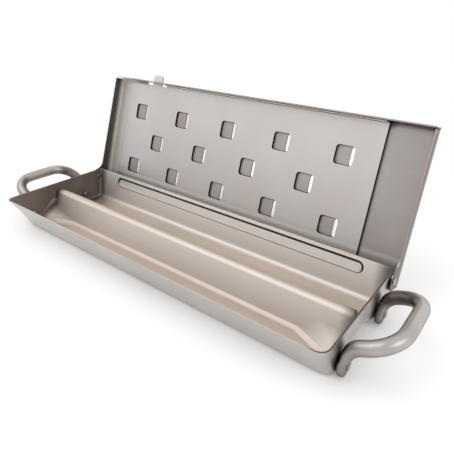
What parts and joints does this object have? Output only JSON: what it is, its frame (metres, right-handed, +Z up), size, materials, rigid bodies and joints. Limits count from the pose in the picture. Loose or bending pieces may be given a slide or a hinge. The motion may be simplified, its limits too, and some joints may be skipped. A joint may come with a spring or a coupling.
{
  "type": "grill smoker box",
  "caption": "Long two-channel steel smoker box with a hinged perforated lid, a sliding damper and a cast bar handle at each end.",
  "frame": {"origin": "on the floor plane under the middle of the whole object's box, with the lid open as in the picture", "axes": "+X to the right seen from the open front, along the long side; +Y towards the hinge; +Z up"},
  "size_m": [0.4594, 0.1854, 0.1567],
  "materials": {
    "tray_steel": "pressed stainless sheet, fine grain along the tray",
    "lid_steel": "bent stainless sheet, fine vertical grain",
    "damper_steel": "flat stainless sheet, satin",
    "handle_steel": "cast stainless bar, tumbled",
    "fastener_steel": "plain stainless"
  },
  "bodies": {
    "tray": {"tray": "tray_steel", "handle_left": "handle_steel", "handle_right": "handle_steel", "handle_rivet_left_front": "fastener_steel", "handle_rivet_left_rear": "fastener_steel", "handle_rivet_right_front": "fastener_steel", "handle_rivet_right_rear": "fastener_steel", "hinge_rivet_left": "fastener_steel", "hinge_rivet_right": "fastener_steel"},
    "lid": {"lid": "lid_steel"},
    "damper": {"damper": "damper_steel"}
  },
  "joints": [
    {"name": "lid_hinge", "type": "hinge", "parent": "tray", "child": "lid", "pos_m": [0, 0.0343, 0.0285], "axis": [1, 0, 0], "range_deg": [0, 107.4]},
    {"name": "damper_slide", "type": "slide", "parent": "lid", "child": "damper", "axis": [1, 0, 0], "range_m": [-0.011, 0.0088]}
  ]
}
